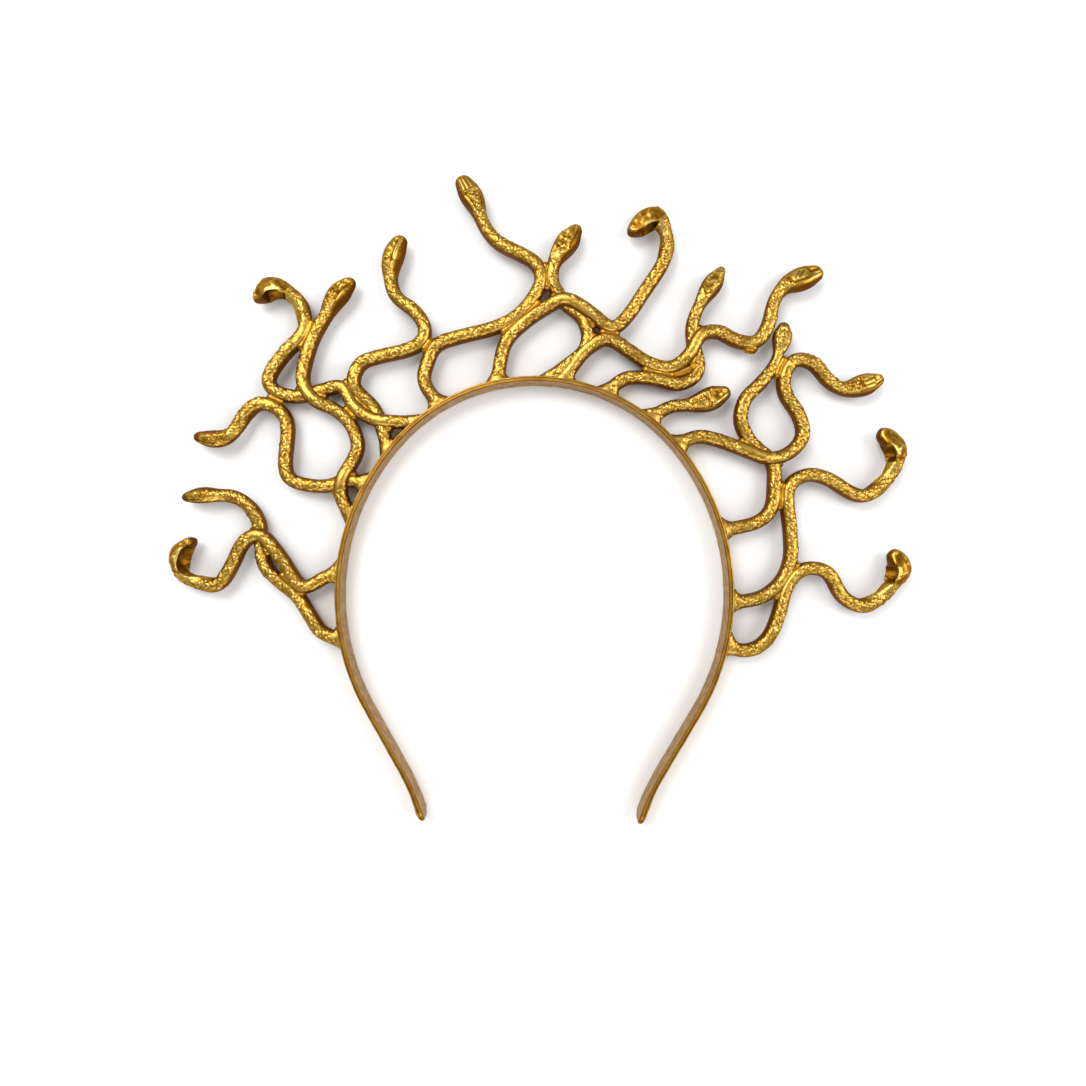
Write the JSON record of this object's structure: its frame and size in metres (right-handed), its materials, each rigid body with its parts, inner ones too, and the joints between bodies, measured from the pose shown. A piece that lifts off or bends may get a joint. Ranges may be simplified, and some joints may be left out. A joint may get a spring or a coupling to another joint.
{
  "type": "diadem",
  "caption": "Snake diadem: gold cast snakes, some hooded, standing up round a plain arched headband, with their bodies crossing and soldered together.",
  "frame": {"origin": "Middle of the outline's box in X and Y, on the surface the diadem lies on.", "axes": "+X is to the right of someone who looks at its front, +Y is up over the wearer's head, +Z is from its flat back edge to its front."},
  "size_m": [0.2534, 0.2224, 0.009],
  "materials": {
    "gold": "satin antique gold"
  },
  "bodies": {
    "root": {"diadem": "gold"}
  },
  "joints": []
}
